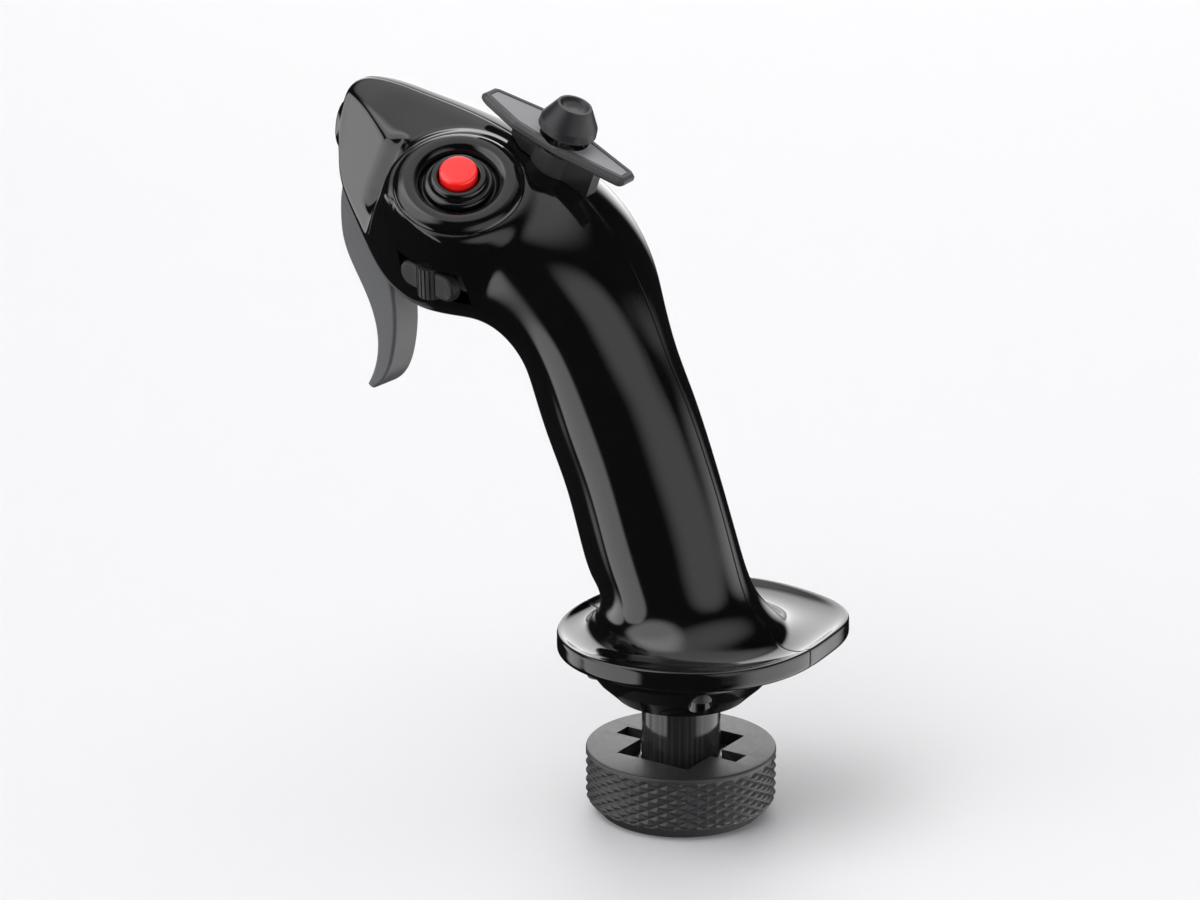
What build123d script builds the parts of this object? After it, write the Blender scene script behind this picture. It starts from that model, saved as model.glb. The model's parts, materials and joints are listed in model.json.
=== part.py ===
"""Right-handed flight-stick grip with its quick-release lock nut, modelled in millimetres.

Frame: +X is the pilot's right, +Y is forward (the trigger side), +Z is up.
The origin is the centre of the lock nut's bottom face, on the axis of its thread.
"""
from build123d import *
import math
import os
from collections import namedtuple

# ---------------------------------------------------------------- driving dimensions
WALL = 2.4                      # thickness of the moulded shells
GAP = 0.6                       # clearance round a piece that moves
RUNNING = 0.05                  # radial clearance of a pin in its hole

NUT_RADIUS = 23.0
NUT_HEIGHT = 16.0
NUT_PLATE = 3.5                 # thickness of the nut's top plate
THREAD_RADIUS = 16.92           # minor radius of the M36 x 2 thread
THREAD_RELIEF = 18.1
THREAD_LENGTH = 8.0
CUT_BLOCK = (26.0, 20.0)        # cross-shaped cut-out of the nut, X by Y
CUT_ARM = (5.0, 34.0)
NUT_GROOVES = 48                # grip grooves round its side

STEM_RADIUS = 9.5
STEM_BORE = 7.0
KEY_BOTTOM = 8.2                # underside of the key at the stem's foot
KEY_TOP = 11.5
WASHER_TOP = NUT_HEIGHT - NUT_PLATE

COLLAR_BOTTOM = 29.3
COLLAR_FOOT_RADIUS = 16.5
FLANGE_BOTTOM = 42.3
FLANGE_TOP = 48.0

PIN_RADIUS = 1.5                # pivot pins of trigger and rocker
TRIGGER_WIDTH = 10.0
BUTTON_RADIUS = 4.5

# ---------------------------------------------------------------- skin of the grip
# Every section lies in a plane through the X direction. back and front are its two points in the
# plane of symmetry, as (y, z). front_power and back_power square off its two halves; cant is how
# far from the section's centre the slanted upper faces lie, and flat is the same for the flats
# along the shaft's front.
Station = namedtuple("Station", "back front half_width front_power back_power cant flat")
NONE = 99.0                     # a face this far out never touches the section
STATIONS = [
    Station((-31.0, 44.5), (25.5, 44.5), 27.0, 2.0, 2.0, NONE, NONE),
    Station((-24.6, 49.4), (21.2, 48.4), 20.6, 2.0, 2.0, NONE, 22.0),
    Station((-19.2, 54.9), (20.4, 51.6), 17.8, 2.0, 1.9, NONE, 18.2),
    Station((-16.2, 60.9), (21.2, 54.0), 17.2, 2.0, 1.8, NONE, 17.1),
    Station((-13.4, 69.4), (23.2, 56.4), 17.0, 2.0, 1.75, NONE, 16.8),
    Station((-5.8, 90.8), (30.2, 76.8), 17.0, 2.0, 1.75, NONE, 16.8),
    Station((-0.4, 103.4), (35.8, 89.8), 17.2, 2.0, 1.8, NONE, 16.9),
    Station((5.2, 114.6), (39.6, 101.6), 17.8, 2.05, 1.85, NONE, 17.2),
    Station((9.6, 124.2), (41.8, 109.0), 19.2, 2.15, 2.0, 22.0, 19.5),
    Station((14.5, 133.1), (45.8, 114.4), 21.4, 2.3, 2.3, 22.0, NONE),
    Station((21.7, 142.5), (50.8, 116.6), 23.8, 2.45, 2.45, 22.2, NONE),
    Station((30.4, 150.4), (56.4, 116.8), 25.4, 2.6, 2.6, 22.4, NONE),
    Station((40.4, 157.2), (62.4, 116.6), 25.6, 2.6, 2.6, 22.5, NONE),
    Station((52.0, 162.5), (68.8, 117.0), 23.6, 2.6, 2.6, 22.6, NONE),
    Station((63.0, 165.9), (75.6, 118.6), 20.0, 2.5, 2.5, 22.0, NONE),
    Station((73.0, 168.1), (81.8, 123.0), 16.4, 2.5, 2.5, 20.2, NONE),
    Station((81.6, 169.5), (87.4, 130.5), 13.4, 2.5, 2.5, 17.6, NONE),
    Station((88.4, 169.9), (92.6, 137.5), 10.6, 2.4, 2.4, 14.8, NONE),
    Station((93.2, 168.2), (96.0, 144.0), 7.6, 2.2, 2.2, NONE, NONE),
    Station((96.4, 163.6), (97.8, 150.4), 4.2, 2.0, 2.0, NONE, NONE),
]
CANT_ANGLE = 30.0               # of a slanted upper face from the section's own up
RIGHT_CANT_OUT = 1.6            # the right-hand slanted face lies this much further out
FLAT_ANGLE = 53.6               # of a front flat from the section's own down
CREASE = 12.0                   # how sharply the faces meet
HALF_SPANS = 14                 # spans of the curve round half a section
PAST = 1.0                      # each half is lofted this far past the plane, then cut on it
LEFT, RIGHT = 1, -1


def section_frame(station):
    """Centre, half depth and unit direction from front to back, in the (y, z) plane."""
    dy = (station.back[0] - station.front[0]) / 2
    dz = (station.back[1] - station.front[1]) / 2
    depth = math.hypot(dy, dz)
    centre = ((station.back[0] + station.front[0]) / 2, (station.back[1] + station.front[1]) / 2)
    return centre, depth, (dy / depth, dz / depth)


def section_radius(station, depth, angle):
    """Distance from the section's centre to the skin; angle 0 is +X and 90 is towards the back."""
    c = abs(math.cos(angle))
    s = abs(math.sin(angle))
    power = station.back_power if math.sin(angle) > 0 else station.front_power
    round_term = (c / station.half_width) ** power + (s / depth) ** power
    total = round_term ** (CREASE / power)
    faces = (
        (math.radians(90 - CANT_ANGLE), station.cant + RIGHT_CANT_OUT),
        (math.radians(90 + CANT_ANGLE), station.cant),
        (math.radians(-90 + FLAT_ANGLE), station.flat),
        (math.radians(-90 - FLAT_ANGLE), station.flat),
    )
    for normal, distance in faces:
        total += max(0.0, math.cos(angle - normal) / distance) ** CREASE
    return total ** (-1 / CREASE)


def section_point(station, angle, inset=0.0):
    """A point of the skin, or of the surface lying inset below it."""
    centre, depth, up = section_frame(station)
    radius = section_radius(station, depth, angle) - inset
    along = radius * math.sin(angle)
    return (radius * math.cos(angle), centre[0] + up[0] * along, centre[1] + up[1] * along)


def half_section(station, side, inset=0.0):
    """Outline of one half of a section, which runs a little past the plane of symmetry."""
    start = side * math.pi / 2
    step = math.pi / HALF_SPANS
    points = [section_point(station, start + step * i, inset) for i in range(HALF_SPANS + 1)]
    skin = Spline(*points, tangents=[(-side, 0, 0), (side, 0, 0)])
    first = (side * PAST, *points[0][1:])
    last = (side * PAST, *points[-1][1:])
    return Wire([skin, Line(points[-1], last), Line(last, first), Line(first, points[0])])


def half_loft(stations, side, inset=0.0, ruled=False):
    """Solid through one half of each station; side is LEFT or RIGHT."""
    return Solid.make_loft([half_section(station, side, inset) for station in stations], ruled)


# ---------------------------------------------------------------- helpers
def frame(origin, normal, forward):
    """A plane at origin facing along normal, its local x as near to forward as it can be."""
    z = Vector(*normal).normalized()
    x = Vector(*forward)
    x = (x - z * x.dot(z)).normalized()
    return Plane(origin=origin, x_dir=x, z_dir=z)


def turned(profile):
    """A solid of revolution about Z from (radius, height) points."""
    return revolve(Plane.XZ * make_face(Polyline(*profile, close=True)), Axis.Z)


def tube(outer, inner, low, high):
    """A round tube about Z between two heights."""
    height = high - low
    ring = Cylinder(outer, height) - Cylinder(inner, height * 2)
    return Pos(0, 0, (low + high) / 2) * ring


def rod(radius, low, high):
    """A round rod about Z between two heights."""
    return Pos(0, 0, (low + high) / 2) * Cylinder(radius, high - low)


def block(x0, x1, y0, y1, z0, z1):
    """A box between two corners."""
    middle = Pos((x0 + x1) / 2, (y0 + y1) / 2, (z0 + z1) / 2)
    return middle * Box(x1 - x0, y1 - y0, z1 - z0)


def cross_rod(radius, y, z, x0, x1):
    """A round rod along X."""
    return Pos((x0 + x1) / 2, y, z) * Rot(0, 90, 0) * Cylinder(radius, x1 - x0)


def side_plate(outline, x0, x1):
    """A plate with a straight-sided (y, z) outline between two X positions."""
    face = Plane.YZ * make_face(Polyline(*outline, close=True))
    return Pos(x0, 0, 0) * extrude(face, x1 - x0)


# ---------------------------------------------------------------- local frames
BUTTON = frame((-20.0, 49.7, 152.4), (-0.49, -0.322, 0.81), (0, 1, 0))
PLATE = frame((1.0, 35.6, 162.4), (-0.08, -0.39, 0.917), (0, 1, 0))
HAT_BACK = 1.7                  # the hat stands this far behind the middle of its plate
HAT = PLATE * Pos(-HAT_BACK, 0, 0)
ROCKER = frame((-25.0, 54.2, 129.9), (-0.955, 0.2, -0.17), (0, 1, 0.12))
SHAFT_TILT = 21.5               # degrees the handle leans forward
BOARD = Pos(0, 6.0, 74.0) * Rot(-SHAFT_TILT, 0, 0)
TRIGGER_PIVOT = (87.0, 148.0)


# ---------------------------------------------------------------- grip shells
FLANGE_OUTLINE = [
    (0.0, 27.4), (-11.5, 26.0), (-23.0, 20.5), (-31.0, 10.5), (-33.6, -1.0), (-31.5, -14.0),
    (-24.0, -26.5), (-12.5, -33.5), (0.0, -35.6), (12.5, -34.8), (24.5, -32.0), (31.5, -26.0),
    (35.6, -15.5), (37.0, -3.5), (34.0, 9.0), (26.0, 19.0), (13.5, 25.6),
]
BOSS_RADIUS = 17.6
BOSS_FOOT_RADIUS = 20.3
BOSS_DEPTH = 16.0
BEZEL_RADIUS = 15.4
BEZEL_SEAT = 3.0
CAVITY_FIRST = 3                # stations between which the grip is hollow
CAVITY_LAST = 17
SHELL_SCREWS = [(7.0, 62.5), (21.6, 99.0), (44.0, 124.0), (70.0, 153.0)]
SHELL_BOSS_RADIUS = 3.2
MOUTH_RADIUS = 14.4             # of the way through the flange for the stem


def flange():
    """The palm rest: a flat lobed disc with rounded rims."""
    outline = make_face(Spline(*FLANGE_OUTLINE, periodic=True))
    disc = Pos(0, 0, FLANGE_BOTTOM) * extrude(outline, FLANGE_TOP - FLANGE_BOTTOM)
    rims = disc.edges().filter_by(lambda edge: edge.length > 100)
    return fillet(rims, 2.2)


def thumb_boss():
    """The raised round island on the left of the head that carries the thumb button."""
    profile = [
        (0, 0), (BOSS_RADIUS - 2.2, 0), (BOSS_RADIUS - 0.6, -0.7), (BOSS_RADIUS, -2.2),
        (BOSS_FOOT_RADIUS, -BOSS_DEPTH), (0, -BOSS_DEPTH),
    ]
    return BUTTON * turned(profile)


def half_space(side):
    """Everything on one side of the plane of symmetry."""
    return block(-60, 0, -60, 130, 0, 200) if side == LEFT else block(0, 60, -60, 130, 0, 200)


def outside(side):
    """The outer form of one half of the grip."""
    form = half_loft(STATIONS, side) + flange()
    if side == LEFT:
        form += thumb_boss()
    return form & half_space(side)


def cavity(side):
    """The hollow inside one half, without its mouth through the flange."""
    return half_loft(STATIONS[CAVITY_FIRST:CAVITY_LAST + 1], side, WALL, ruled=True)


def openings():
    """Everything that is cut through the shells for the controls."""
    half = TRIGGER_WIDTH / 2 + GAP
    return [
        BUTTON * rod(BEZEL_RADIUS + 0.1, -BEZEL_SEAT, 20),
        BUTTON * rod(12.2, -BOSS_DEPTH + 1, -BEZEL_SEAT),
        HAT * rod(HAT_HOUSING_RADIUS + 0.05, -14, 20),
        block(-half, half, 73.5, 110, 90, 147.0),
        block(-half, half, 73.5, 94.6, 146.0, 154.0),
        ROCKER * block(-10.2, 10.2, -4.6, 4.6, -9, 12),
    ]


def screw_holes():
    """Clearance holes, with deep counterbores that open on the right-hand side."""
    holes = []
    for y, z in SHELL_SCREWS:
        holes.append(cross_rod(1.5, y, z, -10, 40))
        holes.append(cross_rod(3.0, y, z, 9.0, 40))
    return holes


def shell(side):
    """One moulded half: hollow, with screw bosses inside it and openings for the controls."""
    form = outside(side)
    core = cavity(side)
    for y, z in SHELL_SCREWS:
        core -= cross_rod(SHELL_BOSS_RADIUS, y, z, -45, 45)
    hollow = form - core
    mouth = rod(MOUTH_RADIUS, FLANGE_BOTTOM - 1, 60.0)
    pilots = [place * rod(1.5, 40, 47.2) for place in base_screw_places()]
    for cut in [mouth] + pilots + openings() + screw_holes():
        hollow -= cut
    return hollow


def left_shell():
    """Left half, which carries the thumb button and the rocker."""
    return shell(LEFT)


def right_shell():
    """Right half, which the screws enter."""
    return shell(RIGHT)


def shell_screws():
    """M3 screws that hold the halves together."""
    screws = []
    for y, z in SHELL_SCREWS:
        shank = cross_rod(1.45, y, z, -9.5, 9.0)
        head = cross_rod(2.75, y, z, 9.0, 11.6) - cross_rod(1.3, y, z, 10.2, 12)
        screws.append(shank + head)
    return screws


# ---------------------------------------------------------------- foot of the grip
def base_cover():
    """Bowl-shaped collar under the flange, bored for the stem."""
    profile = [
        (STEM_RADIUS + 0.02, COLLAR_BOTTOM), (COLLAR_FOOT_RADIUS - 0.8, COLLAR_BOTTOM),
        (COLLAR_FOOT_RADIUS, COLLAR_BOTTOM + 0.8), (20.2, 33.5), (23.2, 37.5),
        (25.2, FLANGE_BOTTOM), (STEM_RADIUS + 0.02, FLANGE_BOTTOM),
    ]
    cover = turned(profile)
    for place in base_screw_places():
        cover = cover - place * rod(1.5, 30, 60) - place * rod(2.9, 20, 37.6)
    for place in stem_screw_places():
        cover = cover - place * rod(1.25, 37, 60)
    return cover


def base_screw_places():
    """Four screws round the collar."""
    return [Rot(0, 0, 45 + 90 * i) * Pos(20.3, 0, 0) for i in range(4)]


def stem_screw_places():
    """Three screws round the stem's flange."""
    return [Rot(0, 0, 90 + 120 * i) * Pos(11.8, 0, 0) for i in range(3)]


def base_screws():
    """Screws that hold the collar to the flange."""
    screw = rod(1.45, 37.6, 46.5) + rod(2.7, 35.2, 37.6) - rod(1.3, 35, 36.4)
    return [place * screw for place in base_screw_places()]


def stem_tube():
    """Steel tube with a flange that sits on the collar inside the grip."""
    body = tube(STEM_RADIUS, STEM_BORE, KEY_TOP, 45.0)
    body += tube(13.8, STEM_BORE, FLANGE_BOTTOM, 44.8)
    for place in stem_screw_places():
        body = body - place * rod(1.5, 40, 50)
    return body


def stem_screws():
    """Screws that hold the stem to the collar."""
    screw = rod(1.2, 38, 44.8) + rod(2.0, 44.8, 46.6) - rod(0.9, 45.8, 47)
    return [place * screw for place in stem_screw_places()]


def cross_shape(slack):
    """The bayonet cross, as a flat face; slack is taken off each side."""
    middle = Rectangle(CUT_BLOCK[0] - 2 * slack, CUT_BLOCK[1] - 2 * slack)
    arms = Rectangle(CUT_ARM[0] - 2 * slack, CUT_ARM[1] - 2 * slack)
    return middle + arms


def stem_key():
    """The key at the stem's foot, turned a quarter so that the nut can't drop off."""
    key = Pos(0, 0, KEY_BOTTOM) * Rot(0, 0, 90) * extrude(cross_shape(0.5), KEY_TOP - KEY_BOTTOM)
    return key - rod(STEM_BORE, 0, 20)


def connector_body():
    """Insulator of the connector, set back inside the stem."""
    return rod(STEM_BORE, 10.6, 16.0)


def contact_places():
    """One contact in the middle and seven round it."""
    ring = [Rot(0, 0, 360 / 7 * i) * Pos(4.4, 0, 0) for i in range(7)]
    return [Pos(0, 0, 0)] + ring


def contact_pins():
    """Contacts that stand below the insulator, inside the key."""
    pin = rod(0.55, 8.7, 10.6)
    return [place * pin for place in contact_places()]


def signal_cable():
    """Lead from the connector to the board, inside the stem."""
    return rod(2.4, 16.0, 50.0)


def thrust_washer():
    """Washer between the key and the nut; it rides up the stem with the nut."""
    return tube(15.4, STEM_RADIUS + 0.3, KEY_TOP, WASHER_TOP)


def lock_nut():
    """Knurled nut: threaded from below, with a cross-shaped cut-out in its top plate."""
    outside = [
        (0, 0), (NUT_RADIUS - 3.2, 0), (NUT_RADIUS - 2.2, 0.6), (NUT_RADIUS, 4.2),
        (NUT_RADIUS, 13.6), (NUT_RADIUS - 0.3, NUT_HEIGHT - 0.5), (NUT_RADIUS - 0.8, NUT_HEIGHT),
        (0, NUT_HEIGHT),
    ]
    nut = turned(outside) - rod(THREAD_RADIUS, -1, THREAD_LENGTH)
    nut = nut - rod(THREAD_RELIEF, THREAD_LENGTH, WASHER_TOP)
    nut = nut - extrude(cross_shape(0), NUT_HEIGHT + 5)
    groove = Pos(NUT_RADIUS + 0.25, 0, 9.0) * Box(1.0, 0.9, 9.0)
    return nut - [Rot(0, 0, 360 / NUT_GROOVES * i) * groove for i in range(NUT_GROOVES)]


# ---------------------------------------------------------------- electronics in the handle
def main_board():
    """Circuit board standing in the handle."""
    return BOARD * block(-8.5, 8.5, -0.8, 0.8, -17.0, 15.0)


def board_components():
    """Controller chip, connectors and capacitors on the board."""
    parts = [block(-4.5, 4.5, -2.4, -0.8, -4.0, 5.0)]
    parts.append(block(-6.5, 6.5, -5.3, -0.8, 9.0, 14.0))
    parts.append(block(-6.5, 6.5, -5.3, -0.8, -16.0, -11.0))
    for x in (-6.2, 6.2):
        parts.append(Pos(x, -2.8, 2.0) * Rot(90, 0, 0) * Cylinder(1.5, 4.0))
    return [BOARD * part for part in parts]


# ---------------------------------------------------------------- thumb button
def thumb_bezel():
    """Domed ring round the button, stepped up to a collar in the middle."""
    profile = [
        (5.0, -BEZEL_SEAT), (BEZEL_RADIUS, -BEZEL_SEAT), (BEZEL_RADIUS, 0.2), (14.9, 0.7),
        (12.6, 1.2), (10.4, 1.0), (9.2, 0.4), (8.9, -0.6), (8.4, -0.6), (8.2, 1.2), (7.6, 1.6),
        (7.0, 1.6), (6.6, 2.6), (6.0, 3.0), (5.0, 3.0),
    ]
    return BUTTON * turned(profile)


def red_button():
    """The button's cap on its stem."""
    profile = [
        (0, -7.2), (1.5, -7.2), (1.5, -4.4), (2.4, -4.4), (2.4, -1.0), (BUTTON_RADIUS + 0.3, -1.0),
        (BUTTON_RADIUS + 0.3, 0.2), (BUTTON_RADIUS, 0.2), (BUTTON_RADIUS, 4.6),
        (BUTTON_RADIUS - 0.25, 5.0), (BUTTON_RADIUS - 0.8, 5.2), (0, 5.3),
    ]
    return BUTTON * turned(profile)


def thumb_switch():
    """Micro switch under the button, with a hole for the button's stem."""
    body = block(-6, 6, -6, 6, -13.0, -6.6) - rod(1.5 + 0.1, -11.0, -6.0)
    body = fillet(body.edges().filter_by(Axis.Z), 0.8)
    return BUTTON * body


def button_bracket():
    """Plate that holds the switch behind the bezel."""
    plate = rod(11.9, -6.6, -5.4) - rod(3.4, -8, -4)
    legs = tube(11.9, 10.6, -5.4, -BEZEL_SEAT)
    return BUTTON * (plate + legs)


# ---------------------------------------------------------------- hat switch
PLATE_LENGTH = 42.5
PLATE_OUTLINE = [
    (PLATE_LENGTH / 2, 2.2), (PLATE_LENGTH / 2 - 1.2, 3.2), (9.0, 6.4), (-3.0, 6.4),
    (1.2 - PLATE_LENGTH / 2, 3.2), (-PLATE_LENGTH / 2, 2.2),
]
PEDESTAL_OUTLINE = [(11.0, 2.0), (6.0, 5.0), (-4.0, 5.4), (-13.0, 2.0)]
PEDESTAL_FOOT = [(-20, -12.1), (-13, -9.9), (-6, -7.8), (0, -6.6), (20, -5.3)]
PEDESTAL_DEPTH = 12.0
PLATE_UNDER = -2.7
PLATE_OVER = 0.0
HAT_HOUSING_RADIUS = 6.6
HAT_BORE_RADIUS = 5.7
HAT_PIVOT = -6.0                # of the gimbal, along the hat's axis
GIMBAL_PIN = 0.8


def hexagon(outline):
    """Face inside an outline given on one side and mirrored to the other."""
    mirrored = [(x, -y) for x, y in reversed(outline)]
    return make_face(Polyline(*outline, *mirrored, close=True))


def plate_face(inset):
    """The plate's elongated outline, drawn in by inset."""
    face = hexagon(PLATE_OUTLINE)
    return face if inset == 0 else offset(face, -inset, kind=Kind.INTERSECTION)


def hat_plate():
    """Elongated plate that carries the hat, with a recessed top."""
    plate = Pos(0, 0, PLATE_UNDER) * extrude(plate_face(0), PLATE_OVER - PLATE_UNDER)
    plate = chamfer(plate.faces().sort_by(Axis.Z)[-1].edges(), 0.7)
    plate = chamfer(plate.faces().sort_by(Axis.Z)[0].edges(), 1.0)
    plate = plate - Pos(0, 0, PLATE_OVER - 0.5) * extrude(plate_face(1.7), 2)
    return PLATE * (plate - Pos(-HAT_BACK, 0, 0) * rod(6.0, -5, 5))


def hat_inlay():
    """Thin face let into the plate."""
    inlay = Pos(0, 0, PLATE_OVER - 0.5) * extrude(plate_face(1.8), 0.35)
    return PLATE * (inlay - Pos(-HAT_BACK, 0, 0) * rod(6.0, -5, 5))


def hat_housing():
    """Pedestal under the plate and a round tower down into the head, bored for the gimbal's pins."""
    skirt = Pos(0, 0, PLATE_UNDER - PEDESTAL_DEPTH) * extrude(hexagon(PEDESTAL_OUTLINE), PEDESTAL_DEPTH)
    side = make_face(Polyline((20, PLATE_UNDER), (-20, PLATE_UNDER), *PEDESTAL_FOOT, close=True))
    pedestal = PLATE * (skirt & extrude(Plane.XZ * side, 10, both=True))
    tower = HAT * rod(HAT_HOUSING_RADIUS, -13.5, PLATE_UNDER)
    pins = Rot(0, 90, 0) * Cylinder(GIMBAL_PIN + RUNNING, 2 * HAT_HOUSING_RADIUS)
    bore = HAT * (rod(HAT_BORE_RADIUS, -14, 1) + Pos(0, 0, HAT_PIVOT) * pins)
    return pedestal + tower - bore


def hat_gimbal():
    """Ring that tips fore and aft in the housing on two pins."""
    ring = tube(5.0, 3.8, HAT_PIVOT - 1.4, HAT_PIVOT + 1.4)
    pins = [Pos(side * 5.6, 0, HAT_PIVOT) * Rot(0, 90, 0) * Cylinder(GIMBAL_PIN, 1.8) for side in (-1, 1)]
    bores = Pos(0, 0, HAT_PIVOT) * Rot(90, 0, 0) * Cylinder(GIMBAL_PIN + RUNNING, 30)
    return HAT * (ring + pins[0] + pins[1] - bores)


def hat_stick():
    """Stick under the hat, with a cross pin that turns in the ring."""
    stick = rod(2.0, HAT_PIVOT - 4.5, 4.0)
    pin = Pos(0, 0, HAT_PIVOT) * Rot(90, 0, 0) * Cylinder(GIMBAL_PIN, 9.8)
    return HAT * (stick + pin)


def hat_cap():
    """Thumb piece: a squat cone with a dished top."""
    profile = [
        (2.0, 1.9), (6.8, 1.9), (7.1, 2.3), (6.9, 4.2), (4.6, 8.2), (4.2, 8.8), (3.6, 8.8),
        (2.8, 8.1), (0, 7.8), (0, 4.0), (2.0, 4.0),
    ]
    return HAT * turned(profile)


def hat_board():
    """Small circuit board that closes the housing's foot."""
    return HAT * rod(HAT_HOUSING_RADIUS, -15.0, -13.5)


def hat_switches():
    """Four tactile switches round the foot of the stick."""
    switch = Pos(3.9, 0, -12.7) * Box(2.4, 2.4, 1.6)
    return [HAT * Rot(0, 0, 90 * i) * switch for i in range(4)]


# ---------------------------------------------------------------- trigger
TRIGGER_FRONT = [
    (90.6, 151.4), (93.4, 147.6), (95.5, 142.5), (96.1, 136.5), (95.3, 129.0), (91.8, 121.5),
    (87.6, 113.6), (85.6, 105.0), (86.5, 98.4), (88.6, 93.8),
]
TRIGGER_REAR = [
    (87.0, 92.6), (83.4, 95.8), (80.8, 102.5), (79.9, 110.5), (80.7, 118.5), (83.0, 126.5),
    (84.2, 135.0), (83.0, 143.5), (83.6, 150.4),
]
SPRING_Z = 139.0


def trigger():
    """S-shaped finger trigger on a pivot lug."""
    edge = [
        Spline(*TRIGGER_FRONT), Line(TRIGGER_FRONT[-1], TRIGGER_REAR[0]), Spline(*TRIGGER_REAR),
        ThreePointArc(TRIGGER_REAR[-1], (87.0, 152.6), TRIGGER_FRONT[0]),
    ]
    face = make_face(edge)
    body = extrude(Plane.YZ * face, TRIGGER_WIDTH / 2, both=True)
    flanks = body.edges().filter_by(lambda edge: edge.length > 25 and edge.length < 80)
    body = fillet(flanks, 0.8)
    body = body - cross_rod(PIN_RADIUS + RUNNING, *TRIGGER_PIVOT, -10, 10)
    pocket = Pos(0, 84.0, SPRING_Z) * Rot(90, 0, 0) * Cylinder(2.9, 8.0)
    return body - pocket


def trigger_pin():
    """Pivot pin of the trigger, held in the bracket."""
    return cross_rod(PIN_RADIUS, *TRIGGER_PIVOT, -7.0, 7.0)


def trigger_bracket():
    """U-shaped bracket whose two ears carry the pivot pin."""
    outline = [(76.0, 150.0), (82.5, 144.6), (89.4, 144.6), (89.8, 152.0), (86.0, 155.6), (76.0, 155.6)]
    ears = side_plate(outline, -7.0, -5.4) + side_plate(outline, 5.4, 7.0)
    bridge = block(-5.4, 5.4, 76.0, 86.0, 154.0, 155.6)
    return ears + bridge - cross_rod(PIN_RADIUS, *TRIGGER_PIVOT, -10, 10)


def trigger_spring():
    """Compression spring between the trigger and its seat."""
    turns = Helix(pitch=1.55, height=9.3, radius=2.0)
    start = Plane(origin=turns @ 0, z_dir=turns % 0)
    coil = sweep(start * Circle(0.35), path=turns)
    return Pos(0, 72.6, SPRING_Z) * Rot(-90, 0, 0) * coil


def trigger_switch():
    """Snap-action switch behind the trigger, with its spring seat."""
    body = block(-4.6, 4.6, 66.0, 79.0, 126.0, 132.5)
    seat = block(-4.6, 4.6, 66.0, 72.2, 132.5, 142.5)
    return body + seat


# ---------------------------------------------------------------- rocker
ROCKER_PIVOT = -3.4             # below the surface, along the rocker's own axis
ROCKER_PIN = 1.0


def rocker_cap():
    """Two-way rocker: a rounded lobe each end and a ribbed barrel across the middle."""
    body = Pos(0, 0, -0.4) * extrude(SlotOverall(18.0, 6.6), 2.4)
    body = fillet(body.faces().sort_by(Axis.Z)[-1].edges(), 0.9)
    barrel = Pos(0, 0, 0.2) * Rot(90, 0, 0) * Cylinder(3.3, 7.6) & block(-4, 4, -4, 4, -1.4, 4)
    web = block(-3.0, 3.0, -3.0, 3.0, -4.9, -0.4)
    cap = body + barrel + web
    for i in range(7):
        rib = Rot(0, -60 + 20 * i, 0) * Pos(0, 0, 3.3) * Box(0.45, 9.0, 0.7)
        cap = cap - Pos(0, 0, 0.2) * rib
    cap = cap - Pos(0, 0, ROCKER_PIVOT) * Rot(90, 0, 0) * Cylinder(ROCKER_PIN + RUNNING, 20)
    return ROCKER * cap


def rocker_pin():
    """Pivot pin of the rocker, held in the housing."""
    return ROCKER * Pos(0, 0, ROCKER_PIVOT) * Rot(90, 0, 0) * Cylinder(ROCKER_PIN, 8.6)


def rocker_housing():
    """Box behind the rocker whose two cheeks carry the pin."""
    cheek = block(-3.6, 3.6, 3.3, 4.5, -8.6, -2.0)
    housing = cheek + block(-3.6, 3.6, -4.5, -3.3, -8.6, -2.0) + block(-10.0, 10.0, -4.5, 4.5, -8.6, -7.2)
    return ROCKER * (housing - Pos(0, 0, ROCKER_PIVOT) * Rot(90, 0, 0) * Cylinder(ROCKER_PIN, 20))


def rocker_switches():
    """A tactile switch under each end of the rocker."""
    switch = block(5.0, 8.6, -1.8, 1.8, -7.2, -3.4)
    return [ROCKER * switch, ROCKER * Rot(0, 0, 180) * switch]


# ---------------------------------------------------------------- write the parts
def write(name, shape):
    """One STEP file per node; a list becomes one node of separate solids."""
    if isinstance(shape, (list, tuple)):
        shape = Compound(children=[Compound(item.solids()) for item in shape])
    export_step(shape, os.path.join("parts", name + ".step"))


def main():
    os.makedirs("parts", exist_ok=True)
    pieces = [
        left_shell, right_shell, shell_screws, base_cover, base_screws, stem_tube, stem_screws, stem_key,
        connector_body, contact_pins, signal_cable, thrust_washer, lock_nut, main_board, board_components,
        thumb_bezel, red_button, thumb_switch, button_bracket, hat_plate, hat_inlay, hat_housing,
        hat_gimbal, hat_stick, hat_cap, hat_board, hat_switches, trigger, trigger_pin,
        trigger_bracket, trigger_spring, trigger_switch, rocker_cap, rocker_pin, rocker_housing,
        rocker_switches,
    ]
    for piece in pieces:
        write(piece.__name__, piece())


main()
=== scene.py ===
"""Looks of the flight-stick grip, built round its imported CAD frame.

Lengths of the shapes below are in millimetres and are turned into metres when a mesh is made.
+X is the grip's right, +Y its front and +Z up, as in the frame.
"""
import math
from collections import namedtuple

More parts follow.
